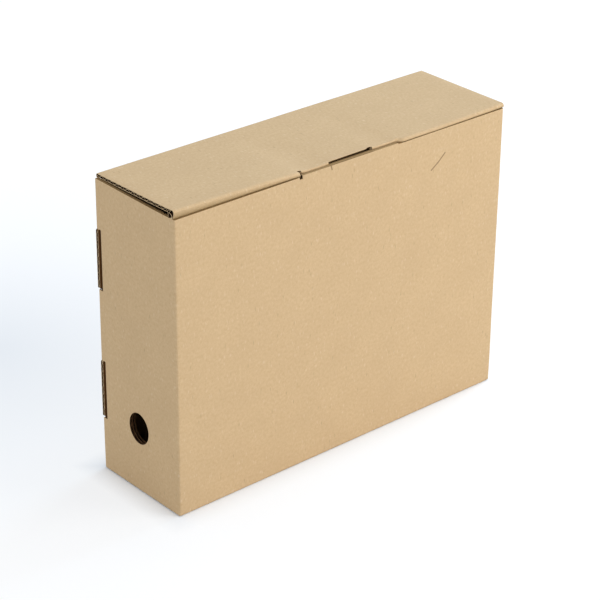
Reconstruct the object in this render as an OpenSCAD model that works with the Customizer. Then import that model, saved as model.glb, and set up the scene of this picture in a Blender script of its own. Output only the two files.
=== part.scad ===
// Cardboard archive box, closed: one die-cut sheet of corrugated board, folded without glue.
// The front panel carries the two ends, the back panel carries the lid, and the base joins front
// and back. Flaps on the back panel stand inside the ends, and tabs beside their folds sit in
// notches of the ends. The lid's tuck flap goes down behind the front panel's raised lock.
// X runs along the box, Y from front to back and Z up. The origin is the middle of the underside.

/* [Box] */
// Outer length
box_l = 330; // [260:1:420]
// Outer depth, front to back
box_w = 95; // [70:1:160]
// Height of the front and end panels
panel_h = 245; // [200:1:320]

/* [Board] */
// Thickness of the corrugated board
board_t = 3; // [2.4:0.1:4]
// Thickness of each flat paper
liner_t = 0.4; // [0.25:0.05:0.5]
// Thickness of the wavy paper
medium_t = 0.35; // [0.25:0.05:0.5]
// Distance from one wave to the next
flute_pitch = 6.5; // [5:0.1:9]
// Depth to which the waves are open at a cut edge
flute_depth = 4; // [2:0.5:8]
// Gap between layers that lie on each other
layer_gap = 0.4; // [0.3:0.05:0.6]

/* [Lid] */
// Height of the lid's underside above the panels' top edges
lid_lift = 1.3; // [1:0.1:3]
// Distance of the lid's front fold behind the front face
fold_setback = 0.2; // [0:0.1:1]
// Radius of the fold's lower edge
fold_lip_r = 0.8; // [0.3:0.1:1.2]
// Width of the cut at each end of the lock
slit_w = 1.2; // [0.8:0.1:3]
// Depth of that cut from the lid's front edge
slit_d = 6; // [4:0.5:10]

/* [Tuck flap] */
// Height of the tuck flap below its fold
tuck_h = 30; // [20:1:45]
// Gap between the tuck flap and the front panel
tuck_gap = 1.2; // [1:0.1:2]
// Distance of the tuck flap's ends from the inner flaps
tuck_inset = 2; // [1:0.5:20]
// Radius of the tuck flap's lower corners
tuck_corner_r = 14; // [4:1:18]

/* [Lock] */
// Length of the raised lock on the front panel
lock_w = 96; // [60:1:130]
// Distance of the lock's middle from the box's middle
lock_offset = 2.5; // [-20:0.5:20]
// Height of the lock above the front panel's top edge
lock_rise = 1.7; // [1.5:0.1:4]
// Size of the lock's slanted corners
lock_chamfer = 0.8; // [0.3:0.1:1.2]
// Length of the opening that the lid's fold has behind the lock
grip_w = 44; // [20:1:60]
// Distance of that opening's middle from the lock's middle
grip_offset = 2; // [-10:0.5:10]
// Width of that opening
grip_gap = 1; // [0.6:0.1:2.2]

/* [Inner flaps] */
// Length of each inner flap from the back panel towards the front
inner_reach = 72; // [55:1:80]
// Distance of its top edge below the end panel's top edge
inner_drop = 2; // [0.5:0.5:10]

/* [Corner tabs] */
// Height of each tab
tab_h = 47; // [30:1:60]
// Distance between the middles of the two tabs of an end
tab_spacing = 110; // [90:1:120]
// Height of their common middle above the panel's middle
tab_shift = 1.8; // [-10:0.1:10]
// Size of the slanted corners of a tab
tab_chamfer = 1.2; // [0.5:0.1:2]
// Clearance above and below a tab in its notch
notch_clear = 0.8; // [0.4:0.1:2]
// Width of the open notch in front of a tab
notch_gap = 3; // [1:0.5:6]
// Distance of an end panel's back edge from the back face
edge_setback = 0.6; // [0.2:0.1:1]

/* [Finger hole] */
// Diameter of the finger hole in the left end
hole_d = 24.5; // [15:0.5:35]
// Height of its middle above the base
hole_z = 55; // [35:1:90]
// Distance of its middle behind the end's middle
hole_offset = 1.3; // [-5:0.1:5]
// How much larger the hole in the inner flap is
hole_step = 1.5; // [0.5:0.5:4]

/* [Hidden] */
kraft = [0.82, 0.71, 0.56];
kraft_lid = [0.80, 0.70, 0.58];
kraft_inside = [0.72, 0.60, 0.45];
wave_steps = 6;
// Share of a wave at each side of an opening where its papers are glued together
glue_share = 0.12;
cut = 1;
round_fn = 64;

half_l = box_l / 2;
half_w = box_w / 2;
end_in = half_l - board_t;
flap_out = end_in - layer_gap;
flap_in = flap_out - board_t;
front_in = -half_w + board_t;
back_in = half_w - board_t;

lid_under = panel_h + lid_lift;
lid_top = lid_under + board_t;
hinge_y = half_w - board_t / 2;
hinge_z = lid_under + board_t / 2;
back_top = lid_under - layer_gap;

fold_front = -half_w + fold_setback;
fold_lip = panel_h + layer_gap;
lid_front = front_in + layer_gap;
plate_front = lid_front + board_t;

tuck_front = front_in + tuck_gap;
tuck_axis_y = tuck_front + board_t / 2;
tuck_axis_z = lid_under - layer_gap - board_t / 2;
tuck_half_l = flap_in - tuck_inset;

lock_x0 = lock_offset - lock_w / 2;
lock_x1 = lock_offset + lock_w / 2;
grip_x0 = lock_offset + grip_offset - grip_w / 2;
grip_x1 = lock_offset + grip_offset + grip_w / 2;
lock_top = panel_h + lock_rise;

notch_y = back_in - notch_gap;
tab_middles = [for (s = [-1, 1]) panel_h / 2 + tab_shift + s * tab_spacing / 2];
hole_inner_r = hole_d / 2 + hole_step / 2;

// The wavy paper's middle, across the board, at u along it
wave_a = (board_t - 2 * liner_t - medium_t) / 2;
function wave(u) = board_t / 2 + wave_a * cos(360 * u / flute_pitch);

// One opening between the wavy paper and the flat paper on its far side
module wave_gap() {
    u0 = glue_share * flute_pitch;
    step = (flute_pitch - 2 * u0) / wave_steps;
    top = board_t - liner_t;
    polygon(concat(
        [for (k = [0 : wave_steps]) [u0 + k * step, wave(u0 + k * step) + medium_t / 2]],
        [[flute_pitch - u0, top], [u0, top]]
    ));
}

// The openings of a length of board, from 0 to span along X and through its thickness along Y
module wave_gaps(span) {
    count = floor(span / flute_pitch);
    for (i = [0 : count - 1])
        translate([i * flute_pitch, 0]) wave_gap();
    for (i = [0 : count - 2])
        translate([(i + 0.5) * flute_pitch, board_t]) mirror([0, 1]) wave_gap();
}

// Openings that run along X in an upright board, stacked up from z, with its front face at y
module gaps_x_upright(x0, x1, y, z, span) {
    translate([x0, y, z]) rotate([90, 0, 90]) linear_extrude(x1 - x0)
        mirror([1, -1, 0]) wave_gaps(span);
}

// A block between two corners
module block(lo, hi) {
    translate(lo) cube(hi - lo);
}

// A quarter-round fold along X, centred on its inner crease, over the half-length given
module fold_x(y, z, turn, half) {
    translate([-half, y, z]) rotate([90, 0, 90]) rotate([0, 0, turn])
        rotate_extrude_quarter(2 * half);
}

// A quarter-round fold along Z, from z0 to z1
module fold_z(x, y, turn, z0, z1) {
    translate([x, y, z0]) rotate([0, 0, turn]) rotate_extrude_quarter(z1 - z0);
}

module rotate_extrude_quarter(height) {
    rotate_extrude(angle = 90, $fn = round_fn) square([board_t, height]);
}

// The front panel's outline, with the raised lock
module front_outline() {
    c = lock_chamfer;
    polygon([
        [-end_in, board_t], [end_in, board_t], [end_in, panel_h],
        [lock_x1, panel_h], [lock_x1, lock_top - c], [lock_x1 - c, lock_top],
        [lock_x0 + c, lock_top], [lock_x0, lock_top - c], [lock_x0, panel_h], [-end_in, panel_h]
    ]);
}

// The front panel: its top edge opens the waves along its whole length
module front_panel() {
    difference() {
        translate([0, front_in, 0]) rotate([90, 0, 0]) linear_extrude(board_t) front_outline();
        gaps_x_upright(-end_in + cut, end_in - cut, -half_w, lock_top - 2 * flute_pitch + cut,
            3 * flute_pitch);
    }
}

// The base, with its folds to the front and back panels
module base_panel() {
    block([-flap_out, front_in, 0], [flap_out, back_in, board_t]);
    fold_x(front_in, board_t, 180, flap_out);
    fold_x(back_in, board_t, 270, flap_out);
}

// The back panel up to the lid's fold
module back_panel() {
    block([-flap_in, back_in, board_t], [flap_in, half_w, back_top]);
}

// The outline of a corner tab, from the back panel's flat part to the end's outer face
module tab_outline() {
    c = tab_chamfer;
    h = tab_h / 2;
    polygon([[flap_in, -h], [half_l - c, -h], [half_l, c - h], [half_l, h - c], [half_l - c, h],
        [flap_in, h]]);
}

// One corner tab, in line with the back panel, its cut end showing the waves
module corner_tab(z) {
    difference() {
        translate([0, half_w, z]) rotate([90, 0, 0]) linear_extrude(board_t) tab_outline();
        gaps_x_upright(half_l - flute_depth, half_l + cut, back_in, z - tab_h / 2, tab_h);
    }
}

// One end panel, drawn on the +X side, with notches for the tabs and waves at its cut edges
module end_panel(hole) {
    back_edge = half_w - edge_setback;
    difference() {
        block([end_in, front_in, layer_gap], [half_l, back_edge, panel_h]);
        for (z = tab_middles)
            block([end_in - cut, notch_y, z - tab_h / 2 - notch_clear],
                [half_l + cut, half_w + cut, z + tab_h / 2 + notch_clear]);
        translate([end_in, back_edge + cut, layer_gap]) rotate([90, 0, 0])
            linear_extrude(flute_depth + cut) mirror([1, -1, 0]) wave_gaps(panel_h - layer_gap);
        translate([end_in, back_edge + cut, panel_h - flute_pitch * 3 / 4]) rotate([90, 0, 0])
            linear_extrude(box_w - board_t) mirror([1, -1, 0]) wave_gap();
        if (hole)
            translate([end_in - cut, hole_offset, hole_z]) rotate([0, 90, 0])
                cylinder(d = hole_d, h = board_t + 2 * cut, $fn = round_fn);
    }
    fold_z(end_in, front_in, 270, layer_gap, panel_h);
}

// One inner flap of the back panel, on the +X side, open at the tabs and behind the finger hole
module inner_flap(hole) {
    top = panel_h - inner_drop;
    difference() {
        union() {
            block([flap_in, back_in - inner_reach, board_t + layer_gap], [flap_out, back_in, top]);
            fold_z(flap_in, back_in, 0, board_t + layer_gap, top);
        }
        for (z = tab_middles)
            block([flap_in - cut, notch_y, z - tab_h / 2 - notch_clear],
                [flap_out + cut, half_w + cut, z + tab_h / 2 + notch_clear]);
        if (hole)
            translate([flap_in - cut, hole_offset, hole_z]) rotate([0, 90, 0])
                cylinder(r = hole_inner_r, h = board_t + 2 * cut, $fn = round_fn);
    }
}

// One end with its inner flap and tabs, drawn on the +X side
module box_end(hole) {
    end_panel(hole);
    inner_flap(hole);
    for (z = tab_middles) corner_tab(z);
}

// The folded box without its lid
module box_body() {
    color(kraft) {
        front_panel();
        base_panel();
        back_panel();
        box_end(false);
        mirror([1, 0, 0]) box_end(true);
    }
}

// The lid's section at its front fold, which rounds over to the front face and in again below
module fold_section() {
    r = board_t;
    lip_r = min(fold_lip_r, lid_lift - layer_gap - 0.1);
    polygon(concat(
        [[plate_front, lid_under], [lid_front, lid_under], [lid_front, fold_lip]],
        [for (k = [0 : wave_steps]) let (a = 90 * k / wave_steps)
            [fold_front + lip_r * (1 - sin(a)), fold_lip + lip_r * (1 - cos(a))]],
        [for (k = [0 : wave_steps]) let (a = 90 * k / wave_steps)
            [fold_front + r * (1 - cos(a)), lid_top - r * (1 - sin(a))]],
        [[plate_front, lid_top]]
    ));
}

// The lid's section behind the lock, where its fold lies one board further back
module lock_section() {
    r = board_t;
    polygon(concat(
        [[plate_front, lid_under], [lid_front, lid_under]],
        [for (k = [0 : wave_steps]) let (a = 90 * k / wave_steps)
            [lid_front + r * (1 - cos(a)), lid_top - r * (1 - sin(a))]],
        [[plate_front, lid_top]]
    ));
}

// A length of the lid's front edge with the section given as its child
module lid_edge(x0, x1) {
    translate([x0, 0, 0]) rotate([90, 0, 90]) linear_extrude(x1 - x0) children();
}

// The lid: waves open at both ends, a round back edge on its hinge line, and a front edge that
// folds over the front panel beside the lock and stays behind it at the lock
module lid() {
    color(kraft_lid) difference() {
        union() {
            block([-half_l, plate_front, lid_under], [half_l, hinge_y, lid_top]);
            translate([-half_l, hinge_y, hinge_z]) rotate([0, 90, 0])
                cylinder(d = board_t, h = box_l, $fn = round_fn);
            lid_edge(-half_l, lock_x0) fold_section();
            lid_edge(lock_x0 - cut, lock_x1 + cut) lock_section();
            lid_edge(lock_x1, half_l) fold_section();
        }
        translate([-half_l - cut, plate_front, lid_under]) rotate([90, 0, 90])
            linear_extrude(box_l + 2 * cut) wave_gaps(hinge_y - plate_front);
        for (x = [lock_x0 - slit_w / 2, lock_x1 + slit_w / 2])
            block([x - slit_w / 2, fold_front - cut, fold_lip - cut],
                [x + slit_w / 2, fold_front + slit_d, lid_top + cut]);
        block([grip_x0, lid_front - cut, lid_under - cut],
            [grip_x1, lid_front + grip_gap, lid_top + cut]);
    }
}

// The tuck flap's outline below its fold line
module tuck_outline() {
    r = tuck_corner_r;
    steps = 2 * wave_steps;
    function corner(side) = [for (k = [0 : steps]) let (a = 90 * (side > 0 ? steps - k : k) / steps)
        [side * (tuck_half_l - r * (1 - cos(a))), -tuck_h + r * (1 - sin(a))]];
    polygon(concat([[tuck_half_l, 0], [-tuck_half_l, 0]], corner(-1), corner(1)));
}

// The tuck flap behind the front panel, round at the top on its fold line
module tuck_flap() {
    color(kraft_inside) difference() {
        union() {
            translate([0, tuck_front + board_t, tuck_axis_z]) rotate([90, 0, 0])
                linear_extrude(board_t) tuck_outline();
            translate([-tuck_half_l, tuck_axis_y, tuck_axis_z]) rotate([0, 90, 0])
                cylinder(d = board_t, h = 2 * tuck_half_l, $fn = round_fn);
        }
        gaps_x_upright(-tuck_half_l - cut, tuck_half_l + cut, tuck_front,
            tuck_axis_z - tuck_h + board_t, tuck_h - board_t);
    }
}

box_body();
lid();
tuck_flap();
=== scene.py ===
"""Closed cardboard archive box: one folded sheet of three papers, its materials, floor and lights.

The sheet is drawn flat, with u along the waves and v across them, then folded. Its front edge is at
v = 0. From there v runs down the front, along the base, up the back, forward over the lid and down
the tuck flap. Lengths are in millimetres until a mesh is made.
"""

import math

import bpy
import numpy as np
from mathutils import Matrix, Vector, noise
from mathutils.geometry import delaunay_2d_cdt

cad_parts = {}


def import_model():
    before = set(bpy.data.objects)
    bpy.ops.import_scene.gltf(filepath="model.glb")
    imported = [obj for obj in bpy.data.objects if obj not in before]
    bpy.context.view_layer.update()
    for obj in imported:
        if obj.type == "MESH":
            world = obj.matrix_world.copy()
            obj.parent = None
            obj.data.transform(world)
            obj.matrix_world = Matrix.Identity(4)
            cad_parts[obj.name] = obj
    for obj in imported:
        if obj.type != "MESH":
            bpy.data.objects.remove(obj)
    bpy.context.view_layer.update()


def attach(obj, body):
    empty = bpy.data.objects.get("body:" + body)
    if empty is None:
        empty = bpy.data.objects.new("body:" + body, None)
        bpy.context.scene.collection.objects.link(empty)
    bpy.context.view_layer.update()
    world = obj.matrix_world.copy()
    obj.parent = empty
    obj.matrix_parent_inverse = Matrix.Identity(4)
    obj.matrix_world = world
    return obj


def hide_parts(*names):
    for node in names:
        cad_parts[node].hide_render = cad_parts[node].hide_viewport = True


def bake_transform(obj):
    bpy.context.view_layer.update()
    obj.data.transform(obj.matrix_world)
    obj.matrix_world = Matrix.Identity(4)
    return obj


MM = 0.001

# Board: its papers, and the waves, which are drawn only near a cut edge
BOARD = 3.0
PAPER = 0.34
WAVE_PAPER = 0.28
PITCH = 6.5
WAVE_STEPS = 10
WAVE_REACH = 13.0
WAVE_SWING = (BOARD - 2 * PAPER - WAVE_PAPER) / 2
OUTER = "outer"
WAVE = "wave"
INNER = "inner"

# Cut edges: how far they are crushed, and how torn wave paper fills them
EDGE_CRUSH = 0.16
CRUSH_REACH = 1.1
CRUSH_LINE = CRUSH_REACH * 0.7
FILL_REACH = 0.5
FILL_GAP = 0.04

# Folds: inner radius, and the outer side's rounded corner
CREASE = 0.3
RIM = 1.5
RIM_STEPS = 5
FOLD_LENGTH = (CREASE + BOARD / 2) * math.pi / 2
FOLD = "fold"

# Slow unevenness of the board: height, lengths along u and v, and place in the noise
WOBBLE = ((0.22, 95, 80, 3.1), (0.07, 31, 37, 8.4))

# Base: its share of the unevenness, its distance from the floor and the length of the change
BASE_WOBBLE = 0.4
BASE_CLEAR = 0.13
BASE_BLEND = 20

# Box
HALF_L = 165.0
FRONT_IN = 44.5
PANEL_H = 245.0
END_IN = 162.0
FLAP_IN = 158.6
BASE_HALF = 161.2
END_FROM = 161.4
END_BACK = 46.2
END_LOW = 0.7
END_RISE = 0.9
END_RISE_FROM = -20.0
FLAP_LOW = 3.8
FLAP_TOP = 243.0
FLAP_FRONT = -27.5
LID_UNDER = 246.3
TAB_MIDDLES = (70.5, 180.5)
TAB_HALF = 24.7
TAB_CLEAR = 0.4
TAB_CHAMFER = 1.2
TAB_HOLE_OUT = 165.3
NOTCH_Y = 41.5
HOLE_Y = 1.3
HOLE_Z = 55.0
HOLE_R = (11.8, 13.1)
FLAP_HOLE_R = (12.8, 13.8)

# Lock: its ends and top, and its edge below the window, which leans back
LOCK = (-45.5, 50.5)
LOCK_RISE = 1.0
LOCK_CHAMFER = 0.6
LOCK_RELIEF = (3.0, 1.7)
WINDOW = (-17.4, 26.5)
WINDOW_LOBE = ((-5.5, 0.0), (-4.2, -1.1), (-1.2, -1.3), (0.0, -0.5))
SPLAY = 1.5
SPLAY_CURVE = 1.5
SPLAY_EDGE = 2.0

# Lid front: the slit at the lock's left end
SLIT = (LOCK[0] - 2.4, LOCK[0] + 1.3)
LID_SEAM_Y = -38.0

# Length in which the fold turns from behind the lock to beside it, at the lock's right end
LOCK_PASSED = 6.0
LOCK_PASSED_STEPS = 8
LOCK_PASSED_U = tuple(
    LOCK[1] + LOCK_PASSED * k / LOCK_PASSED_STEPS for k in range(LOCK_PASSED_STEPS + 1)
)

# Tuck flap
TUCK_HALF = 156.6
TUCK_CORNER = 14.0
CORNER_STEPS = 8
TUCK_LOW = 214.4
TUCK_IN_Y = -40.3
TUCK_OUT_Y = -43.3

# Height of the lid's front edge above its place: a slight twist, and a dip behind the lock
LIFT_X = (
    -165.0, -134.0, -99.0, -79.0, -64.0, -52.0, -46.0, -40.0, -28.0, -21.0, -15.0, 25.0, 31.0, 44.0,
    52.0, 62.0, 95.0, 130.0, 165.0,
)
LIFT_Z = (
    3.0, 2.3, 1.4, 1.0, 0.4, -0.1, -1.0, -1.9, -2.2, -2.0, -1.4, -1.2, -1.8, -1.9,
    -1.3, -1.2, -1.2, -0.8, -0.1,
)

# How far the lid's left edge is drawn in at its back fold
LID_DRAWN_IN = 2.2

# Mesh: widest spacing of its grid lines, and points in a round hole
GRID = 6.0
ROUND_HOLE_STEPS = 56

# Least distances in the mesh: of lines, of points from corners, from edges and from slanted edges
LINE_GAP = 0.06
CORNER_GAP = 0.05
EDGE_GAP = 0.04
SLANTED_GAP = 0.45

# Distances at which things count as one place: on a zone's limit, on a seam, and merged points
NEAR = 0.1
SEAM_GAP = 0.01
MERGED = 1e-5

# Shortest edge that gets grid lines beside it, and shortest one that is pressed
LONG_EDGE = 3
PRESSED_EDGE = 5

# How far past the seam and the lip the cuts of the front fold are looked for, half the width in
# which a level edge is a seam, and the angle of the sharp edges
FOLD_CUT_MARGIN = 2
SEAM_HALF = HALF_L + 1
SHARP_ANGLE = math.radians(42)

# Third texture coordinate of a paper's under side, where its upper side has 0
UNDER_SIDE = 37.0

# Material slots of a piece
FACE_SLOT = 0
EDGE_SLOT = 1
HIDDEN_SLOT = 2
CRUSHED_SLOT = 3
SHADED_SLOT = 4

# Paper textures, in millimetres of sheet: scale, detail and roughness of each noise, and the
# stretch of fibres and flecks across the waves
CLOUD = (0.035, 3.0, 0.55)
MOTTLE = (0.42, 4.0, 0.6)
FIBRE = (2.2, 3.0, 0.65)
FINE = (3.1, 2.0, 0.6)
FUZZ = (1.6, 4.0, 0.7)
FIBRE_STRETCH = (1.0, 0.16, 1.0)
FLECK_STRETCH = (1.0, 0.34, 1.0)
RIB_SCALE = 1 / PITCH

# Shares of the noises at which a colour begins and is full
CLOUD_RANGE = (0.3, 0.7)
SHADE_RANGE = (0.66, 0.30)
FUZZ_RANGE = (0.35, 0.65)

# Spots: scale, colour channel, its values from no spot to a spot, distances of the rim and the full
# middle, and strength
DARK_SPECK = (0.55, 0, (0.80, 0.86), (0.20, 0.07), 0.38)
PALE_FLECK = (0.52, 1, (0.70, 0.80), (0.34, 0.08), 0.3)

# Relief of the paper: share of each texture in it, then strength and depth of the bump
FINE_RELIEF = 0.5
FIBRE_RELIEF = 0.6
RIB_RELIEF = 0.5
SCRATCH_RELIEF = 2.0
KRAFT_BUMP = (0.35, 0.06)
CUT_BUMP = (0.5, 0.1)

# Roughness and specular level
KRAFT_ROUGHNESS = 0.74
MOTTLE_ROUGHNESS = 0.16
KRAFT_SPECULAR = 0.25
CUT_ROUGHNESS = 0.9
CUT_SPECULAR = 0.2

# Distance into the board from a cut edge at which painted shade makes its inside nearly black
DEEP_SHADE_FROM = 1.2

# Marks on the outside, a dent in the front panel and a tick below the window: dark lines of painted
# shade, with a bump
SCRATCH = (
    ((86.8, 31.6), (94.5, 26.4)), ((94.5, 26.4), (101.0, 20.6)), ((-18.0, -1.6), (-17.0, 2.2)),
)
SCRATCH_WIDTH = 0.8
SCRATCH_MIDDLE = 0.1
SCRATCH_SHADE_STRENGTH = 0.85

# Painted shade on the lower side of the lid's front fold, beside the lock: where it begins and is
# full, how far it goes down, and its strength
FOLD_SHADE_START = 0.9
FOLD_SHADE_FULL = 0.6
FOLD_SHADE_REACH = 6.0
FOLD_SHADE_STRENGTH = 0.6

# Colours in 0 to 255. Kraft paper: main, clouds, mottle and pale flecks. Cut paper: main and fuzz.
OUTSIDE = ((211, 184, 145), (217, 190, 150), (197, 166, 125), (235, 216, 186))
# The inside paper's own colour, made darker as painted shade inside the closed box
INSIDE = ((172, 142, 106), (180, 150, 112), (152, 122, 88), (194, 165, 128))
SPECK_COLOUR = (112, 84, 55)
# Painted shade of the dent and the tick
SCRATCH_SHADE_COLOUR = (108, 79, 49)
# Painted shade of the lower side of the lid's front fold
FOLD_SHADE_COLOUR = (146, 120, 72)
CUT_EDGE = ((222, 198, 160), (188, 160, 120))
CRUSHED_EDGE = ((172, 142, 98), (146, 116, 76))
# Wave paper: its own darker brown, made darker still as painted shade of the flutes
WAVES = ((106, 74, 45), (78, 50, 30))
# Paper inside the board and the walls of the round holes, darker than the kraft papers: painted shade
IN_BOARD_SHADE = ((108, 77, 48), (84, 56, 35))
# Painted shade in the gap behind the corner tabs
SHADE_BEHIND_TAB = ((118, 78, 40), (96, 62, 30))
# Painted shade deep inside the board
DEEP_SHADE = (38, 22, 12)

# Floor: white to the camera, with a faint grey-blue patch of painted shadow and the object's shadow
FLOOR_HALF = 6.0
FLOOR_CONTACT = 0.02
FLOOR_CONTACT_CURVE = 0.6
FLOOR_GLOW = 0.68
FLOOR_GLOW_STRENGTH = 1.06
WHITE = (1.0, 1.0, 1.0, 1.0)
FLOOR_SHADE = (0.93, 0.96, 1.0, 1.0)
FLOOR_BOUNCE = (0.72, 0.72, 0.72, 1.0)
FLOOR_PAINTED_SHADOW = (0.79, 0.825, 0.87, 1.0)
FLOOR_PAINTED_SHADOW_AT = (-0.124, 0.268, 0.0)
FLOOR_PAINTED_SHADOW_TURN = math.radians(48.7)
FLOOR_PAINTED_SHADOW_REACH = (0.5, 0.42, 1.0)

# World, and square area lights: name, place, side, power and colour
WORLD_COLOUR = (0.945, 0.972, 1.0, 1.0)
WORLD_STRENGTH = 0.69
LIGHT_AIM = (0, 0, 0.12)
LIGHTS = (
    ("key", (1.5, -1.7, 1.9), 1.6, 17, (0.98, 0.99, 1.0)),
    ("low", (1.5, -1.7, 0.5), 1.2, 18, (1.0, 0.89, 0.77)),
    ("side", (2.6, 0.3, 1.1), 1.4, 58, (0.64, 0.82, 1.0)),
    ("fill", (-2.4, -0.9, 1.3), 1.6, 11, (1.0, 0.95, 0.9)),
)

# Camera, fitted to the box's corners in the photograph: azimuth, elevation and roll in degrees
CAMERA_AT = (-0.9883, -1.1197, 0.8695)
CAMERA_ANGLES = (41.27, 26.94, 0.56)
CAMERA_SENSOR = 36.0
CAMERA_LENS = 127.59
CAMERA_SIGHT = 50.0


def turned(vector, angle):
    """The plane vector turned left by the angle."""
    c, s = math.cos(angle), math.sin(angle)
    return np.array([c * vector[0] - s * vector[1], s * vector[0] + c * vector[1]])


def folded(start, heading, distance, moves):
    """Stations of a strip that is followed on its inner face: distance, inner point, outer point."""
    point = np.array(start, float)
    heading = np.array(heading, float)
    out = np.array([heading[1], -heading[0]])
    rows = [[distance, *point, *(point + BOARD * out)]]
    for move in moves:
        if move == FOLD:
            centre = point - CREASE * out
            flat = CREASE + BOARD - RIM
            middle = centre + flat * (out + heading)
            rim = [middle + RIM * turned(out, math.pi / 2 * k / RIM_STEPS)
                   for k in range(RIM_STEPS + 1)]
            rim.append(centre + (CREASE + BOARD) * heading)
            whole = 2 * flat + RIM * math.pi / 2
            gone = [flat + RIM * math.pi / 2 * k / RIM_STEPS for k in range(RIM_STEPS + 1)]
            for share, outer in zip([g / whole for g in gone] + [1.0], rim):
                inner = centre + CREASE * turned(out, math.pi / 2 * share)
                rows.append([distance + FOLD_LENGTH * share, *inner, *outer])
            out = heading
            point = centre + CREASE * out
            heading = turned(heading, math.pi / 2)
            distance += FOLD_LENGTH
        else:
            point = point + move * heading
            distance += move
            rows.append([distance, *point, *(point + BOARD * out)])
    return np.array(rows)


def at(strip, distance):
    """Inner and outer points of a strip at each distance."""
    columns = [np.interp(distance, strip[:, 0], strip[:, k]) for k in range(1, 5)]
    return np.stack(columns[:2], 1), np.stack(columns[2:], 1)


def arc(centre, radius, start, end, steps):
    """Points of an arc, its angles in degrees from the first axis."""
    angles = np.radians(np.linspace(start, end, steps + 1))
    return [(centre[0] + radius * math.cos(a), centre[1] + radius * math.sin(a)) for a in angles]


def measured(points, distance):
    """Distances along a line of points, the first one given."""
    steps = [math.dist(a, b) for a, b in zip(points, points[1:])]
    return distance + np.concatenate([[0.0], np.cumsum(steps)])


# The whole sheet in section, from above the lock's top edge to just before the lid's front fold
SHEET_ABOVE = 4
SHEET = folded(
    (-FRONT_IN, PANEL_H + SHEET_ABOVE), (0, -1), -float(SHEET_ABOVE),
    [PANEL_H + SHEET_ABOVE - BOARD - CREASE, FOLD, 2 * (FRONT_IN - CREASE), FOLD,
     LID_UNDER - BOARD - 2 * CREASE, FOLD, FRONT_IN - CREASE - LID_SEAM_Y],
)
V_BASE_FOLD = PANEL_H - BOARD - CREASE
V_BASE = V_BASE_FOLD + FOLD_LENGTH
V_BACK_FOLD = V_BASE + 2 * (FRONT_IN - CREASE)
V_BACK = V_BACK_FOLD + FOLD_LENGTH
V_LID_FOLD = V_BACK + LID_UNDER - BOARD - 2 * CREASE
V_LID = V_LID_FOLD + FOLD_LENGTH
V_TUCK_SEAM = V_LID + FRONT_IN - CREASE - LID_SEAM_Y


def v_back(z):
    """Sheet coordinate of a height on the back panel."""
    return V_BACK + z - BOARD - CREASE


V_LID_SEAM = v_back(FLAP_TOP)

# The sheet in plan, round the front corner to an end panel and round the back corner to a flap
END_RUN = 100.0
FLAP_RUN = 80.0
FRONT_CORNER = folded((0, -FRONT_IN), (1, 0), 0.0, [END_IN - CREASE, FOLD, END_RUN])
BACK_CORNER = folded((0, -FRONT_IN), (1, 0), 0.0, [FLAP_IN - CREASE, FOLD, FLAP_RUN])
BACK_CORNER[:, [2, 4]] *= -1
U_END = END_IN - CREASE + FOLD_LENGTH
U_FLAP = FLAP_IN - CREASE + FOLD_LENGTH


def u_end(y):
    """Sheet coordinate of a depth on an end panel."""
    return U_END + y + FRONT_IN - CREASE


def u_flap(y):
    """Sheet coordinate of a depth on an inner flap."""
    return U_FLAP + FRONT_IN - CREASE - y


# Where the fold's inner face ends its flat part and where it turns, after the lid's front seam
FOLD_FLAT = 2.0
FOLD_TURN = (4.0, 8.0)
FOLD_TURN_STEPS = 4


def front_fold(outer, v_outer, lip):
    """Stations of the lid's front fold and the tuck flap, from the outer face's points."""
    v_lip = v_outer[lip]
    inner_v = [V_TUCK_SEAM, V_TUCK_SEAM + FOLD_FLAT]
    inner = [(LID_SEAM_Y, LID_UNDER), (TUCK_IN_Y + CREASE, LID_UNDER)]
    corner = arc((TUCK_IN_Y + CREASE, LID_UNDER - CREASE), CREASE, 90, 180, FOLD_TURN_STEPS)
    inner += corner[1:]
    first, last = (V_TUCK_SEAM + turn for turn in FOLD_TURN)
    inner_v += list(np.linspace(first, last, FOLD_TURN_STEPS))
    inner += [(TUCK_IN_Y, outer[lip][1]), (TUCK_IN_Y, TUCK_LOW)]
    inner_v += [v_lip, v_lip + outer[lip][1] - TUCK_LOW]
    stations = np.array(sorted(set(list(v_outer) + inner_v)))
    outer = np.array(outer)
    inner = np.array(inner)
    return np.stack([
        stations,
        np.interp(stations, inner_v, inner[:, 0]),
        np.interp(stations, inner_v, inner[:, 1]),
        np.interp(stations, v_outer, outer[:, 0]),
        np.interp(stations, v_outer, outer[:, 1]),
    ], 1)


# Beside the lock the fold reaches the front face and its lower side turns back over the panel
BESIDE_CENTRE = (-45.25, 247.25)
BESIDE_R = 2.05
BESIDE_END = 256
ROUND_STEPS = 6
UNDER_STEPS = 5
LIP_Z = 244.32
LIP_CENTRE = (-43.9, LIP_Z)
LIP_R = 0.6
LIP_START = 82
LIP_STEPS = 4
OUTER_BESIDE = (
    [(LID_SEAM_Y, LID_UNDER + BOARD)]
    + arc(BESIDE_CENTRE, BESIDE_R, 90, 180, ROUND_STEPS)
    + arc(BESIDE_CENTRE, BESIDE_R, 180, BESIDE_END, UNDER_STEPS)
    + arc(LIP_CENTRE, LIP_R, LIP_START, 0, LIP_STEPS)
    + [(TUCK_OUT_Y, TUCK_LOW)]
)
V_BESIDE = measured(OUTER_BESIDE, V_TUCK_SEAM)
BESIDE = front_fold(OUTER_BESIDE, V_BESIDE, len(OUTER_BESIDE) - 2)
V_LIP = V_BESIDE[-2]
V_TUCK_END = V_BESIDE[-1]
V_ROUND_END = V_BESIDE[1 + ROUND_STEPS]
V_UNDERSIDE = V_BESIDE[2 + ROUND_STEPS + UNDER_STEPS]

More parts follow.
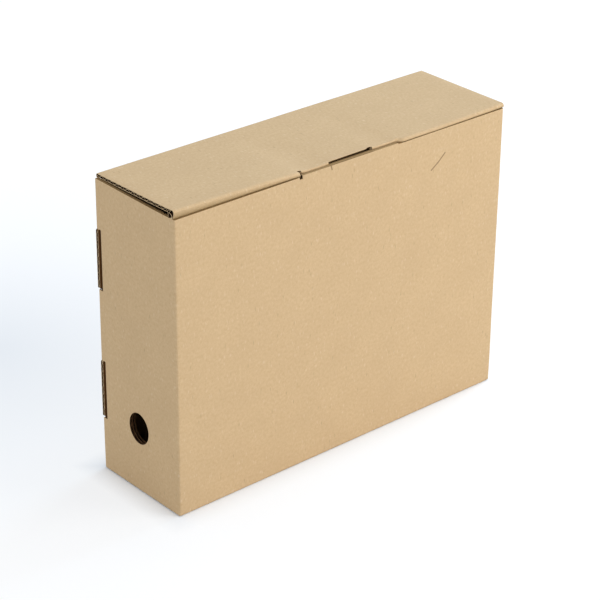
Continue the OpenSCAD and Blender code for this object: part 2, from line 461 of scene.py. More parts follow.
# Behind the lock the fold lies one board further back
BEHIND_CENTRE = (-43.1, 248.1)
BEHIND_R = 1.2
BEHIND_STEPS = 8
OUTER_BEHIND = (
    [(LID_SEAM_Y, LID_UNDER + BOARD)]
    + arc(BEHIND_CENTRE, BEHIND_R, 90, 180, BEHIND_STEPS)
    + [(TUCK_OUT_Y, LIP_Z), (TUCK_OUT_Y, TUCK_LOW)]
)
V_BEHIND = measured(OUTER_BEHIND, V_TUCK_SEAM)
V_BEHIND_ROUND_END = V_BEHIND[1 + BEHIND_STEPS]
V_BEHIND[-2] = V_LIP
V_BEHIND[-1] = V_TUCK_END
BEHIND = front_fold(OUTER_BEHIND, V_BEHIND, len(OUTER_BEHIND) - 2)

# The slit and the window across the fold
V_SLIT = V_TUCK_SEAM + 4.9
V_SLIT_END = V_LIP + 1.5
V_WINDOW = V_TUCK_SEAM + 5.6
V_WINDOW_END = V_LIP - 1.0


def with_height(plan, z):
    """Points of a plan at the given heights."""
    return np.column_stack([plan, z])


def across(u, section):
    """Points of a section at the given places along the box."""
    return np.column_stack([u, section])


def on_tab_height(v, middle):
    """True for sheet coordinates of the back at a corner tab or its clearance."""
    return np.abs(v - v_back(middle)) < TAB_HALF + TAB_CLEAR


def body_faces(u, v):
    """Inner and outer face of the folded box at points of the sheet."""
    reach = np.abs(u)
    side = np.where(u < 0, -1.0, 1.0)[:, None]
    inner, outer = (across(u, part) for part in at(SHEET, v))
    front = (v < V_BASE_FOLD) | ((reach > BASE_HALF + NEAR) & (v < PANEL_H))
    back = v > V_BACK
    for zone, corner, z in (
        (front, FRONT_CORNER, PANEL_H - v),
        (back, BACK_CORNER, BOARD + CREASE + v - V_BACK),
    ):
        plan_in, plan_out = at(corner, reach)
        for whole, plan in ((inner, plan_in), (outer, plan_out)):
            whole[zone] = with_height(plan * np.hstack([side, np.ones_like(side)]), z)[zone]
    splay = front & (v < 0) & (u > WINDOW[0]) & (u < WINDOW[1])
    inner[splay, 1] += SPLAY * (-v[splay] / LOCK_RISE) ** SPLAY_CURVE
    for middle in TAB_MIDDLES:
        tab = back & (reach < TAB_HOLE_OUT - NEAR) & on_tab_height(v, middle)
        for whole, y in ((inner, FRONT_IN), (outer, FRONT_IN + BOARD)):
            whole[tab, 0] = u[tab]
            whole[tab, 1] = y
    return inner, outer


def lift(points, share):
    """Raises the lid's points by its twist. The tuck flap, with a share of 0, stays down."""
    share = share * np.clip((FRONT_IN - points[:, 1]) / (2 * FRONT_IN), 0, 1)
    points[:, 2] += share * np.interp(points[:, 0], LIFT_X, LIFT_Z)


def lid_faces(u, v):
    """Inner and outer face of the lid and tuck flap at points of the sheet."""
    inner, outer = (across(u, part) for part in at(SHEET, np.minimum(v, V_TUCK_SEAM)))
    passed = np.clip((u - LOCK[1]) / LOCK_PASSED, 0, 1)
    beside = np.where(u < sum(SLIT) / 2, 1.0, passed * passed * (3 - 2 * passed))
    front = v > V_TUCK_SEAM
    for whole, near, far in zip((inner, outer), at(BESIDE, v), at(BEHIND, v)):
        section = far + beside[:, None] * (near - far)
        whole[front, 1:] = section[front]
    near = np.interp(v, (V_ROUND_END, V_UNDERSIDE), (1, 0))
    far = np.interp(v, (V_BEHIND_ROUND_END, V_LIP), (1, 0))
    share = far + beside * (near - far)
    drawn = np.interp(v, (V_LID_SEAM, V_LID_FOLD, V_TUCK_SEAM), (0, LID_DRAWN_IN, 0))
    drawn = drawn * np.clip(-u / HALF_L, 0, 1) ** 2
    for whole in (inner, outer):
        lift(whole, share)
        whole[:, 0] += drawn
    return inner, outer


def mirrored(right):
    """A closed outline from its right half."""
    return right + [(-u, v) for u, v in reversed(right)]


def oval(centre, radii):
    """A round hole's outline."""
    turns = [2 * math.pi * k / ROUND_HOLE_STEPS for k in range(ROUND_HOLE_STEPS)]
    return [
        (centre[0] + radii[0] * math.cos(turn), centre[1] + radii[1] * math.sin(turn))
        for turn in turns
    ]


def is_round(hole):
    """True for a hole made by oval."""
    return len(hole) >= ROUND_HOLE_STEPS


def body_blank():
    """The body's outline and its holes."""
    c = TAB_CHAMFER
    slot = TAB_HALF + TAB_CLEAR
    back_edge = u_end(END_BACK)
    notch = u_end(NOTCH_Y)
    right = [(u_end(END_RISE_FROM), 0.0), (back_edge, -END_RISE)]
    for middle in reversed(TAB_MIDDLES):
        v = PANEL_H - middle
        right += [(back_edge, v - slot), (notch, v - slot), (notch, v + slot), (back_edge, v + slot)]
    right += [
        (back_edge, PANEL_H - END_LOW), (END_FROM, PANEL_H - END_LOW), (END_FROM, V_BASE_FOLD),
        (BASE_HALF, V_BASE_FOLD), (BASE_HALF, V_BACK), (FLAP_IN, V_BACK),
        (FLAP_IN, v_back(FLAP_LOW)), (u_flap(FLAP_FRONT), v_back(FLAP_LOW)),
        (u_flap(FLAP_FRONT), V_LID_SEAM), (FLAP_IN, V_LID_SEAM),
    ]
    top = -LOCK_RISE
    k = LOCK_CHAMFER
    width, depth = LOCK_RELIEF
    lock = [
        (LOCK[0] - width, 0.0), (LOCK[0] - width, depth), (LOCK[0], depth), (LOCK[0], top + k),
        (LOCK[0] + k, top), (WINDOW[0], top), (WINDOW[0] + SPLAY_EDGE, top),
        (WINDOW[1] - SPLAY_EDGE, top), (WINDOW[1], top), (LOCK[1] - k, top), (LOCK[1], top + k),
        (LOCK[1], 0.0),
    ]
    holes = []
    for middle in TAB_MIDDLES:
        v = v_back(middle)
        tab = [
            (FLAP_IN, v - slot), (TAB_HOLE_OUT, v - slot), (TAB_HOLE_OUT, v + slot),
            (FLAP_IN, v + slot), (FLAP_IN, v + TAB_HALF), (HALF_L - c, v + TAB_HALF),
            (HALF_L, v + TAB_HALF - c), (HALF_L, v - TAB_HALF + c), (HALF_L - c, v - TAB_HALF),
            (FLAP_IN, v - TAB_HALF),
        ]
        holes += [tab, [(-u, w) for u, w in tab]]
    holes.append(oval((-u_end(HOLE_Y), PANEL_H - HOLE_Z), HOLE_R))
    holes.append(oval((-u_flap(HOLE_Y), v_back(HOLE_Z)), FLAP_HOLE_R))
    return mirrored(right) + lock, holes


def lid_blank():
    """The lid's outline, which has no holes."""
    right = [
        (FLAP_IN, V_LID_SEAM), (FLAP_IN, V_LID_FOLD), (HALF_L, V_LID_FOLD), (HALF_L, V_TUCK_SEAM),
    ]
    return mirrored(right), []


def tuck_blank():
    """The outline of the front fold with the tuck flap, and its slit and window."""
    r = TUCK_CORNER
    corner = arc((TUCK_HALF - r, V_TUCK_END - r), r, 0, 90, CORNER_STEPS)
    right = [(HALF_L, V_TUCK_SEAM), (HALF_L, V_UNDERSIDE), (TUCK_HALF, V_UNDERSIDE), *corner]
    a, b = SLIT
    slit = [(a, V_SLIT), (b, V_SLIT), (b, V_SLIT_END), (a, V_SLIT_END)]
    a, b = WINDOW
    lobe = [(b + du, V_WINDOW + dv) for du, dv in WINDOW_LOBE]
    window = [(a, V_WINDOW), *lobe, (b, V_WINDOW_END), (a, V_WINDOW_END)]
    return mirrored(right), [slit, window]


def steps_between(values, step):
    """Grid lines through the given values, no further apart than the step."""
    values = np.unique(np.round(values, 3))
    kept = [values[0]]
    for value in values[1:]:
        if value - kept[-1] > LINE_GAP:
            kept.append(value)
    lines = [kept[0]]
    for a, b in zip(kept, kept[1:]):
        count = max(1, math.ceil((b - a) / step))
        lines += [a + (b - a) * k / count for k in range(1, count + 1)]
    return np.array(lines)


def segments_of(loops):
    """The edges of closed outlines."""
    pairs = []
    for loop in loops:
        pairs += list(zip(loop, loop[1:] + loop[:1]))
    return np.array(pairs, float)


def inside(points, segments):
    """True for points inside an odd number of loops."""
    odd = np.zeros(len(points), bool)
    for (ax, ay), (bx, by) in segments:
        if ay == by:
            continue
        spans = (ay > points[:, 1]) != (by > points[:, 1])
        crossing = ax + (points[:, 1] - ay) * (bx - ax) / (by - ay)
        odd ^= spans & (points[:, 0] < crossing)
    return odd


def distance_to(points, segments):
    """Distance of each point from the nearest segment."""
    best = np.full(len(points), np.inf)
    for a, b in segments:
        along = b - a
        t = np.clip((points - a) @ along / max(along @ along, 1e-9), 0, 1)
        gap = points - a - t[:, None] * along
        best = np.minimum(best, np.hypot(gap[:, 0], gap[:, 1]))
    return best


def outline_points(loops, u_lines, v_lines):
    """Points of closed outlines, with those where grid lines meet them, and the edges between."""
    points = []
    edges = []
    for loop in loops:
        first = len(points)
        for a, b in zip(loop, loop[1:] + loop[:1]):
            points.append(a)
            between = []
            if a[1] == b[1]:
                lo, hi = sorted((a[0], b[0]))
                between = [(u, a[1]) for u in u_lines if lo + CORNER_GAP < u < hi - CORNER_GAP]
            elif a[0] == b[0]:
                lo, hi = sorted((a[1], b[1]))
                between = [(a[0], v) for v in v_lines if lo + CORNER_GAP < v < hi - CORNER_GAP]
            points += sorted(between, key=lambda p: math.dist(p, a))
        count = len(points) - first
        edges += [(first + k, first + (k + 1) % count) for k in range(count)]
    return points, edges


def triangles(outline, holes, u_lines, v_lines, reach=None):
    """Points, triangles and edges of an outline less its holes.

    With a reach, only the triangles that are no further than that from an edge.
    """
    loops = [outline, *holes]
    segments = segments_of(loops)
    points, edges = outline_points(loops, u_lines, v_lines)
    grid = np.array(np.meshgrid(u_lines, v_lines)).reshape(2, -1).T
    grid = grid[inside(grid, segments)]
    gap = distance_to(grid, segments)
    slanted = segments[(segments[:, 0] != segments[:, 1]).all(1)]
    clear = gap > EDGE_GAP
    if len(slanted):
        clear &= distance_to(grid, slanted) > SLANTED_GAP
    if reach is not None:
        clear &= gap < reach + GRID
    points = np.array(points + [tuple(p) for p in grid[clear]])
    flat, _, faces, *_ = delaunay_2d_cdt([Vector(p) for p in points], edges, [], 0, MERGED)
    flat = np.array([tuple(p) for p in flat])
    faces = np.array([f[:3] for f in faces])
    middles = flat[faces].mean(1)
    keep = inside(middles, segments)
    if reach is not None:
        keep &= distance_to(middles, segments) < reach
    faces = faces[keep]
    used = np.unique(faces)
    new = np.full(len(flat), -1)
    new[used] = np.arange(len(used))
    return flat[used], new[faces], segments


def wobble(u, v):
    """Slow unevenness of the board, along its outer side, and none below the floor."""
    bump = np.array([
        sum(high * noise.noise((a / long, b / wide, place)) for high, long, wide, place in WOBBLE)
        for a, b in zip(u, v)
    ])
    edges = (V_BASE_FOLD - BASE_BLEND, V_BASE_FOLD, V_BACK, V_BACK + BASE_BLEND)
    on_base = np.interp(v, edges, (0, 1, 1, 0))
    return bump + on_base * (BASE_WOBBLE * bump - bump - BASE_CLEAR)


def in_tab(points):
    """True for points of the sheet on one of the back's corner tabs."""
    tall = np.array([on_tab_height(points[:, 1], m) for m in TAB_MIDDLES]).any(0)
    return tall & (np.abs(points[:, 0]) > FLAP_IN) & (np.abs(points[:, 0]) < HALF_L + NEAR)


def paper_heights(paper, flat, gap, long_gap):
    """Lower and upper side of a paper above the sheet's inner face.

    A cut along the waves is crushed, so its edge is full of torn wave paper.
    """
    crush = EDGE_CRUSH * np.exp(-gap / CRUSH_REACH)
    if paper == OUTER:
        return BOARD - PAPER - crush, BOARD - crush
    if paper == INNER:
        return crush, PAPER + crush
    middle = BOARD / 2 + WAVE_SWING * np.cos(2 * math.pi * flat[:, 1] / PITCH) * (1 - crush)
    full = np.exp(-(long_gap / FILL_REACH) ** 2)
    room = PAPER + crush + FILL_GAP
    low = (1 - full) * (middle - WAVE_PAPER / 2) + full * room
    high = (1 - full) * (middle + WAVE_PAPER / 2) + full * (BOARD - room)
    return low, high


def placed(paper, inner, outer, height, bump):
    """Points at a height in the board, kept true to the face that the paper belongs to."""
    through = outer - inner
    thick = np.linalg.norm(through, axis=1)[:, None]
    unit = through / thick
    if paper == OUTER:
        return outer - unit * (BOARD - height - bump)[:, None]
    if paper == INNER:
        return inner + unit * (height + bump)[:, None]
    return inner + through * (height / BOARD)[:, None] + unit * bump[:, None]


def grid_lines(paper, outline, holes, u_extra, v_extra):
    """Grid lines of a paper in both directions, some of them close beside its long cut edges."""
    corners = np.array([p for loop in [outline, *holes] for p in loop])
    lowest, highest = corners.min(0), corners.max(0)
    us = list(corners[:, 0]) + list(u_extra)
    vs = list(corners[:, 1]) + list(v_extra)
    beside = CRUSH_LINE
    if paper == WAVE:
        step = PITCH / WAVE_STEPS
        first, last = math.ceil(lowest[1] / step), math.floor(highest[1] / step)
        vs = [k * step for k in range(first, last + 1)] + [lowest[1], highest[1]]
        beside = FILL_REACH
    for a, b in segments_of([outline, *[h for h in holes if not is_round(h)]]):
        if a[0] == b[0] and abs(a[1] - b[1]) > LONG_EDGE:
            us += [a[0] - CRUSH_LINE, a[0] + CRUSH_LINE]
        if a[1] == b[1] and abs(a[0] - b[0]) > LONG_EDGE:
            vs += [a[1] - beside, a[1] + beside]
    us = [u for u in us if lowest[0] <= u <= highest[0]]
    vs = [v for v in vs if lowest[1] <= v <= highest[1]]
    v_lines = np.unique(np.round(vs, 3)) if paper == WAVE else steps_between(vs, GRID)
    return steps_between(us, GRID), v_lines


def cut_edges(segments, seams):
    """The edges that are cuts. At the others, the seams, the sheet goes on in its next part."""
    def on_seam(a, b):
        level = any(abs(a[1] - v) < SEAM_GAP and abs(b[1] - v) < SEAM_GAP for v in seams)
        return level and abs(a[0]) < SEAM_HALF and abs(b[0]) < SEAM_HALF

    return segments[np.array([not on_seam(a, b) for a, b in segments])]


def pressed_edges(cuts):
    """The long cuts along the waves, and those in the front fold, where the board is crushed."""
    spread = np.abs(cuts[:, 1] - cuts[:, 0])
    after_seam = (cuts[:, :, 1] > V_TUCK_SEAM + FOLD_CUT_MARGIN).all(1)
    before_lip = (cuts[:, :, 1] < V_LIP + FOLD_CUT_MARGIN).all(1)
    pressed = (spread[:, 1] < spread[:, 0]) | (after_seam & before_lip)
    return cuts[pressed & (spread.max(1) > PRESSED_EDGE)]


def material_slots(paper, flat, faces, rim, holes):
    """Slot of each upper face, each lower face and each wall round the cuts."""
    above, below = {
        OUTER: (FACE_SLOT, HIDDEN_SLOT), WAVE: (FACE_SLOT, FACE_SLOT), INNER: (HIDDEN_SLOT, FACE_SLOT),
    }[paper]
    upper = np.full(len(faces), above)
    lower = np.full(len(faces), below)
    # On the corner tabs the inner paper's face gets painted shade
    if paper == INNER:
        lower[in_tab(flat[faces].mean(1))] = SHADED_SLOT
    ends = np.array(rim)
    run = np.abs(flat[ends[:, 1]] - flat[ends[:, 0]])
    walls = np.where(run[:, 1] < run[:, 0], CRUSHED_SLOT, EDGE_SLOT)
    # The walls of the round holes get the darker paper in the board, painted shade
    for hole in holes:
        if is_round(hole):
            walls[distance_to(flat[ends[:, 0]], segments_of([hole])) < NEAR] = HIDDEN_SLOT
    return np.concatenate([upper, lower, walls])


def make_paper(name, paper, blank, faces_at, u_extra, v_extra, seams, materials):
    """One paper of one part of the sheet, as a closed thin solid."""
    outline, holes = blank()
    u_lines, v_lines = grid_lines(paper, outline, holes, u_extra, v_extra)
    reach = WAVE_REACH if paper == WAVE else None
    flat, faces, segments = triangles(outline, holes, u_lines, v_lines, reach)
    cuts = cut_edges(segments, seams)
    gap = distance_to(flat, cuts)
    long_gap = distance_to(flat, pressed_edges(cuts))
    inner, outer = faces_at(flat[:, 0], flat[:, 1])
    bump = wobble(flat[:, 0], flat[:, 1])
    low, high = paper_heights(paper, flat, gap, long_gap)
    under = placed(paper, inner, outer, low, bump)
    over = placed(paper, inner, outer, high, bump)
    points = np.concatenate([over, under]) * MM
    count = len(flat)

    first, second, third = faces.T
    cross = np.cross(over[second] - over[first], over[third] - over[first])
    flip = np.einsum("ij,ij->i", cross, (outer - inner)[first]) < 0
    faces[flip] = faces[flip][:, ::-1]
    pairs = np.concatenate([faces[:, [0, 1]], faces[:, [1, 2]], faces[:, [2, 0]]])
    known = {tuple(p) for p in pairs.tolist()}
    rim = sorted((a, b) for a, b in known if (b, a) not in known)
    polygons = faces.tolist() + (faces[:, ::-1] + count).tolist()
    walls = [[b, a, a + count, b + count] for a, b in rim]
    mesh = bpy.data.meshes.new(name)
    mesh.from_pydata(points.tolist(), [], polygons + walls)
    slots = material_slots(paper, flat, faces, rim, holes)
    mesh.polygons.foreach_set("material_index", slots)

    # The materials read each point's depth in the board, for painted shade, and its place on the sheet
    depth = mesh.attributes.new("depth", "FLOAT", "POINT")
    depth.data.foreach_set("value", np.tile(gap, 2).astype(np.float32))
    blank_at = mesh.attributes.new("blank", "FLOAT_VECTOR", "POINT")
    place = np.column_stack([np.tile(flat, (2, 1)), np.repeat((0.0, UNDER_SIDE), count)])
    blank_at.data.foreach_set("vector", place.astype(np.float32).ravel())
    mesh.update()
    mesh.shade_smooth()
    mesh.set_sharp_from_angle(angle=SHARP_ANGLE)
    piece = bpy.data.objects.new(name, mesh)
    bpy.context.scene.collection.objects.link(piece)
    for material in materials:
        mesh.materials.append(material)
    return piece


class Nodes:
    """A material's node tree, with short calls for making and joining nodes."""

    # The Mix node's sockets for colours
    MIX_FIRST = 6
    MIX_SECOND = 7
    MIX_RESULT = 2

    def __init__(self, name):
        self.material = bpy.data.materials.new(name)
        self.material.use_nodes = True
        self.tree = self.material.node_tree
        self.shader = self.tree.nodes["Principled BSDF"]
        self.output = self.tree.nodes["Material Output"]

    def add(self, kind, inputs=None, **settings):
        """A new node with its settings, and its inputs set or joined."""
        node = self.tree.nodes.new(kind)
        for key, value in settings.items():
            setattr(node, key, value)
        for key, value in (inputs or {}).items():
            self.put(node.inputs[key], value)
        return node

    def put(self, socket, value):
        """Joins the socket to another one, or sets its value."""
        if isinstance(value, bpy.types.NodeSocket):
            self.tree.links.new(value, socket)
        else:
            socket.default_value = value

    def attribute(self, name, output):
        """An attribute of the mesh."""
        return self.add("ShaderNodeAttribute", attribute_name=name).outputs[output]

    def stretched(self, vector, scale):
        """A vector with its axes scaled."""
        node = self.add("ShaderNodeMapping", {"Vector": vector, "Scale": scale})
        return node.outputs["Vector"]

    def maths(self, operation, *values, clamp=False):
        """The result of one operation on values or sockets."""
        node = self.add("ShaderNodeMath", operation=operation, use_clamp=clamp)
        for socket, value in zip(node.inputs, values):
            self.put(socket, value)
        return node.outputs[0]

    def times(self, first, second, clamp=False):
        """A product."""
        return self.maths("MULTIPLY", first, second, clamp=clamp)

    def mix(self, share, first, second):
        """The first colour at a share of 0 and the second at 1."""
        node = self.add("ShaderNodeMix", data_type="RGBA")
        self.put(node.inputs["Factor"], share)
        self.put(node.inputs[self.MIX_FIRST], first)
        self.put(node.inputs[self.MIX_SECOND], second)
        return node.outputs[self.MIX_RESULT]

    def noise(self, vector, scale, detail, roughness):
        """Cloudy noise."""
        values = {"Vector": vector, "Scale": scale, "Detail": detail, "Roughness": roughness}
        return self.add("ShaderNodeTexNoise", values).outputs["Fac"]

    def ramp(self, value, low, high):
        """0 at low and 1 at high."""
        node = self.add("ShaderNodeMapRange", {"From Min": low, "From Max": high})
        self.put(node.inputs["Value"], value)
        return node.outputs["Result"]


def linear(red, green, blue):
    """A colour given in 0 to 255 as the shader's linear values, by the sRGB curve."""
    values = [c / 255 for c in (red, green, blue)]
    values = [c / 12.92 if c <= 0.04045 else ((c + 0.055) / 1.055) ** 2.4 for c in values]
    return (*values, 1.0)


def spots(n, vector, scale, channel, chance, rim_to_middle, strength):
    """The strength inside scattered spots and 0 between them. Only some cells have a spot."""
    cells = n.add("ShaderNodeTexVoronoi", {"Vector": vector, "Scale": scale, "Randomness": 1.0})
    colour = n.add("ShaderNodeSeparateColor", {"Color": cells.outputs["Color"]})
    shown = n.ramp(colour.outputs[channel], *chance)
    spot = n.times(n.ramp(cells.outputs["Distance"], *rim_to_middle), shown, clamp=True)
    return n.times(spot, strength)


def kraft(name, colours, marks_and_shade=False):
    """Brown kraft paper: clouds, fibres across the waves, dark specks and pale flecks.

    The one with marks and shade has the dent and the tick, both with painted shade, and painted shade
    on the lower side of the lid's front fold.
    """
    base, light, dark, pale = (linear(*colour) for colour in colours)
    n = Nodes(name)
    blank = n.attribute("blank", "Vector")
    streaks = n.stretched(blank, FIBRE_STRETCH)
    flecks = n.stretched(blank, FLECK_STRETCH)
    cloud = n.noise(blank, *CLOUD)
    mottle = n.noise(blank, *MOTTLE)
    fibre = n.noise(streaks, *FIBRE)
    fine = n.noise(blank, *FINE)
    colour = n.mix(n.ramp(cloud, *CLOUD_RANGE), base, light)
    shade = n.maths("ADD", n.times(mottle, 0.5), n.times(fibre, 0.5))
    colour = n.mix(n.ramp(shade, *SHADE_RANGE), colour, dark)
    colour = n.mix(spots(n, streaks, *DARK_SPECK), colour, linear(*SPECK_COLOUR))
    colour = n.mix(spots(n, flecks, *PALE_FLECK), colour, pale)
    height = n.maths("ADD", n.times(fine, FINE_RELIEF), n.times(fibre, FIBRE_RELIEF))
    ribs = n.add("ShaderNodeTexWave", {"Vector": blank, "Scale": RIB_SCALE},
                 wave_type="BANDS", bands_direction="Y", wave_profile="SIN")
    height = n.maths("ADD", height, n.times(ribs.outputs["Fac"], RIB_RELIEF))
    if marks_and_shade:
        dent_and_shade = dent_with_painted_shade(n, blank)
        # Painted shade along the dent and the tick
        colour = n.mix(n.times(dent_and_shade, SCRATCH_SHADE_STRENGTH), colour, linear(*SCRATCH_SHADE_COLOUR))
        height = n.maths("SUBTRACT", height, n.times(dent_and_shade, SCRATCH_RELIEF))
        # Painted shade on the lower side of the lid's front fold
        fold_shade_share = n.times(painted_fold_shade(n, blank), FOLD_SHADE_STRENGTH)
        colour = n.mix(fold_shade_share, colour, linear(*FOLD_SHADE_COLOUR))
    strength, depth = KRAFT_BUMP
    bump = n.add("ShaderNodeBump", {"Strength": strength, "Distance": depth * MM, "Height": height})
    roughness = n.maths("ADD", n.times(mottle, MOTTLE_ROUGHNESS), KRAFT_ROUGHNESS)
    n.put(n.shader.inputs["Base Color"], colour)
    n.put(n.shader.inputs["Normal"], bump.outputs["Normal"])
    n.put(n.shader.inputs["Roughness"], roughness)
    n.shader.inputs["Specular IOR Level"].default_value = KRAFT_SPECULAR
    return n.material


def on_outer_side(n, side):
    """1 on the upper side of a paper, 0 on its under side."""
    return n.maths("LESS_THAN", side, 1.0)


def dent_with_painted_shade(n, blank):
    """1 along the dent of the front panel and the tick below the window, where shade is painted and
    the bump dips, 0 elsewhere.
    """
    u, v, side = n.add("ShaderNodeSeparateXYZ", {"Vector": blank}).outputs
    nearest = None
    for (au, av), (bu, bv) in SCRATCH:
        du, dv = bu - au, bv - av
        length = math.hypot(du, dv)
        pu = n.maths("SUBTRACT", u, au)
        pv = n.maths("SUBTRACT", v, av)
        along = n.maths("ADD", n.times(pu, du / length), n.times(pv, dv / length))
        on_line = n.maths("MINIMUM", n.maths("MAXIMUM", along, 0.0), length)
        eu = n.maths("SUBTRACT", pu, n.times(on_line, du / length))
        ev = n.maths("SUBTRACT", pv, n.times(on_line, dv / length))
        far = n.maths("SQRT", n.maths("ADD", n.times(eu, eu), n.times(ev, ev)))
        nearest = far if nearest is None else n.maths("MINIMUM", nearest, far)
    dent_and_shade = n.ramp(nearest, SCRATCH_WIDTH, SCRATCH_MIDDLE)
    return n.times(dent_and_shade, on_outer_side(n, side), clamp=True)


def painted_fold_shade(n, blank):
    """1 where shade is painted on the lower side of the lid's front fold, beside the lock, 0
    elsewhere.
    """
    u, v, side = n.add("ShaderNodeSeparateXYZ", {"Vector": blank}).outputs
    turning = n.ramp(v, V_ROUND_END - FOLD_SHADE_START, V_UNDERSIDE - FOLD_SHADE_FULL)
    inward = n.ramp(v, V_LIP + FOLD_SHADE_REACH, V_LIP)
    half = (LOCK[1] - LOCK[0]) / 2
    off_middle = n.maths("ABSOLUTE", n.maths("SUBTRACT", u, sum(LOCK) / 2))
    beside = n.ramp(off_middle, half, half + LOCK_PASSED)
    shade = n.times(n.times(turning, inward), beside)
    return n.times(shade, on_outer_side(n, side), clamp=True)


def cut_paper(name, colours, paints_deep_shade=False):
    """Paper at a cut edge or inside the board, rough with loose fibres.

    One with painted deep shade is nearly black from a little way into the board.
    """
    base, dark = (linear(*colour) for colour in colours)
    n = Nodes(name)
    fuzz = n.noise(n.attribute("blank", "Vector"), *FUZZ)
    colour = n.mix(n.ramp(fuzz, *FUZZ_RANGE), base, dark)
    if paints_deep_shade:
        # Painted shade, darker further into the board
        depth = n.attribute("depth", "Fac")
        colour = n.mix(n.ramp(depth, 0.0, DEEP_SHADE_FROM), colour, linear(*DEEP_SHADE))
    strength, depth = CUT_BUMP
    bump = n.add("ShaderNodeBump", {"Strength": strength, "Distance": depth * MM, "Height": fuzz})
    n.put(n.shader.inputs["Base Color"], colour)
    n.put(n.shader.inputs["Normal"], bump.outputs["Normal"])
    n.shader.inputs["Roughness"].default_value = CUT_ROUGHNESS
    n.shader.inputs["Specular IOR Level"].default_value = CUT_SPECULAR
    return n.material


def floor_material():
    """A white studio floor: bright to the camera, with a painted shadow patch and the real shadow
    kept, and plain to other rays.
    """
    n = Nodes("studio_floor")
    n.tree.nodes.remove(n.shader)
    place = n.add("ShaderNodeTexCoord").outputs["Object"]
    offset = n.add("ShaderNodeMapping", {"Vector": place}, vector_type="TEXTURE")
    offset.inputs["Location"].default_value = FLOOR_PAINTED_SHADOW_AT
    offset.inputs["Rotation"].default_value = (0.0, 0.0, FLOOR_PAINTED_SHADOW_TURN)
    offset.inputs["Scale"].default_value = FLOOR_PAINTED_SHADOW_REACH
    far = n.add("ShaderNodeVectorMath", {0: offset.outputs["Vector"]}, operation="LENGTH")
    # Painted shadow: a faint grey-blue patch on the floor
    painted_shadow = n.ramp(far.outputs["Value"], 1.0, 0.0)
    painted_shadow = n.times(painted_shadow, painted_shadow)
    seen = n.mix(painted_shadow, WHITE, FLOOR_PAINTED_SHADOW)
    shade = n.mix(painted_shadow, FLOOR_SHADE, FLOOR_PAINTED_SHADOW)
    lit = n.add("ShaderNodeBsdfDiffuse", {"Color": shade})
    glow = n.add("ShaderNodeEmission", {"Color": seen, "Strength": FLOOR_GLOW_STRENGTH})
    x, y, _ = n.add("ShaderNodeSeparateXYZ", {"Vector": place}).outputs
    beyond_end = n.maths("SUBTRACT", n.maths("ABSOLUTE", x), HALF_L * MM)
    beyond_side = n.maths("SUBTRACT", n.maths("ABSOLUTE", y), (FRONT_IN + BOARD) * MM)
    beyond = n.maths("MAXIMUM", beyond_end, beyond_side)
    clear = n.maths("POWER", n.ramp(beyond, 0.0, FLOOR_CONTACT), FLOOR_CONTACT_CURVE)
    share = n.times(clear, FLOOR_GLOW)
    camera = n.add("ShaderNodeMixShader", {0: share, 1: lit.outputs[0], 2: glow.outputs[0]})
    other = n.add("ShaderNodeBsdfDiffuse", {"Color": FLOOR_BOUNCE})
    rays = n.add("ShaderNodeLightPath").outputs["Is Camera Ray"]
    final = n.add("ShaderNodeMixShader", {0: rays, 1: other.outputs[0], 2: camera.outputs[0]})
    n.put(n.output.inputs["Surface"], final.outputs[0])
    return n.material


def make_floor():
    """A large square floor."""
    h = FLOOR_HALF
    mesh = bpy.data.meshes.new("floor")
    mesh.from_pydata([(-h, -h, 0), (h, -h, 0), (h, h, 0), (-h, h, 0)], [], [(0, 1, 2, 3)])
    mesh.materials.append(floor_material())
    floor = bpy.data.objects.new("floor", mesh)
    bpy.context.scene.collection.objects.link(floor)


def make_lights():
    """The world's even light and the area lights, which all look at the box."""
    world = bpy.data.worlds.new("studio")
    bpy.context.scene.world = world
    world.use_nodes = True
    back = world.node_tree.nodes["Background"]
    back.inputs["Color"].default_value = WORLD_COLOUR
    back.inputs["Strength"].default_value = WORLD_STRENGTH
    for name, place, side, power, colour in LIGHTS:
        light = bpy.data.lights.new(name, "AREA")
        light.shape = "SQUARE"
        light.size = side
        light.energy = power
        light.color = colour
        lamp = bpy.data.objects.new(name, light)
        lamp.location = place
        aim = Vector(LIGHT_AIM) - Vector(place)
        lamp.rotation_euler = aim.to_track_quat("-Z", "Y").to_euler()
        bpy.context.scene.collection.objects.link(lamp)


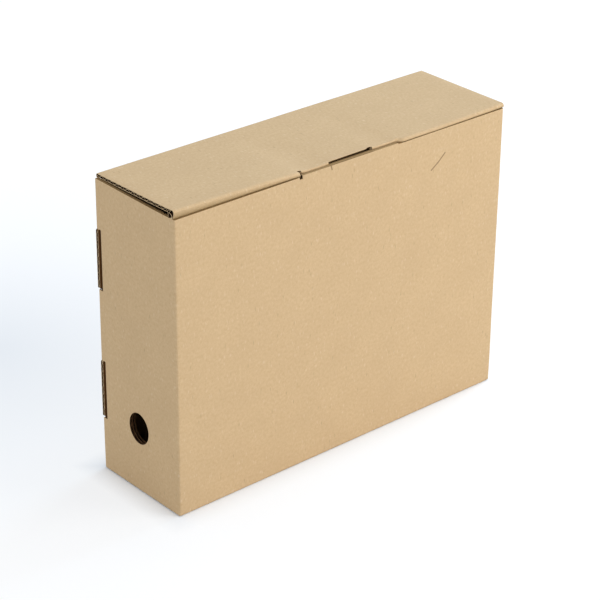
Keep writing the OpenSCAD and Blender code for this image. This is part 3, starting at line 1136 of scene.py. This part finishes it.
def make_camera():
    """The photograph's view."""
    azimuth, elevation, roll = (math.radians(a) for a in CAMERA_ANGLES)
    forward = Vector((
        math.sin(azimuth) * math.cos(elevation),
        math.cos(azimuth) * math.cos(elevation),
        -math.sin(elevation),
    ))
    right = Vector((math.cos(azimuth), -math.sin(azimuth), 0.0))
    up = right.cross(forward)
    right, up = (
        right * math.cos(roll) + up * math.sin(roll),
        up * math.cos(roll) - right * math.sin(roll),
    )
    camera = bpy.data.cameras.new("camera")
    camera.sensor_width = CAMERA_SENSOR
    camera.lens = CAMERA_LENS
    camera.clip_end = CAMERA_SIGHT
    view = bpy.data.objects.new("camera", camera)
    turn = Matrix((right, up, -forward)).transposed()
    view.matrix_world = Matrix.Translation(CAMERA_AT) @ turn.to_4x4()
    bpy.context.scene.collection.objects.link(view)
    bpy.context.scene.camera = view


def make_materials():
    """The materials of each paper, in the order of the slots."""
    outside = kraft("kraft_outside", OUTSIDE, marks_and_shade=True)
    inside_paper = kraft("kraft_inside", INSIDE)
    edge = cut_paper("cut_edge", CUT_EDGE)
    crushed = cut_paper("crushed_edge", CRUSHED_EDGE)
    wave = cut_paper("wave_paper", WAVES, paints_deep_shade=True)
    shaded_in_board = cut_paper("paper_in_board_shaded", IN_BOARD_SHADE, paints_deep_shade=True)
    shaded = cut_paper("painted_shade_behind_tab", SHADE_BEHIND_TAB)
    return {
        OUTER: (outside, edge, shaded_in_board, crushed, shaded),
        WAVE: (wave, edge, wave, crushed, shaded),
        INNER: (inside_paper, edge, shaded_in_board, crushed, shaded),
    }


def main():
    """Builds the camera, floor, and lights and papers."""
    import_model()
    scene = bpy.context.scene
    scene.view_settings.view_transform = "Standard"
    make_camera()
    make_floor()
    make_lights()
    materials = make_materials()
    body_u = [s * d for s in (-1, 1) for d in (*FRONT_CORNER[1:-1, 0], *BACK_CORNER[1:-1, 0])]
    lid_u = LIFT_X + LOCK_PASSED_U
    sheet_v = SHEET[1:-1, 0]
    fold_v = (*BESIDE[1:-1, 0], *BEHIND[1:-1, 0])
    for paper in (OUTER, WAVE, INNER):
        piece = make_paper(f"box_{paper}_paper", paper, body_blank, body_faces, body_u, sheet_v,
                           [V_LID_SEAM], materials[paper])
        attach(piece, "box")
        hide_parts("box_body")
        piece = make_paper(f"lid_{paper}_paper", paper, lid_blank, lid_faces, lid_u, sheet_v,
                           [V_LID_SEAM, V_TUCK_SEAM], materials[paper])
        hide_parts("lid")
        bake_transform(piece)
        piece = make_paper(f"tuck_{paper}_paper", paper, tuck_blank, lid_faces, lid_u, fold_v,
                           [V_TUCK_SEAM], materials[paper])
        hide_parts("tuck_flap")
        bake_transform(piece)


main()
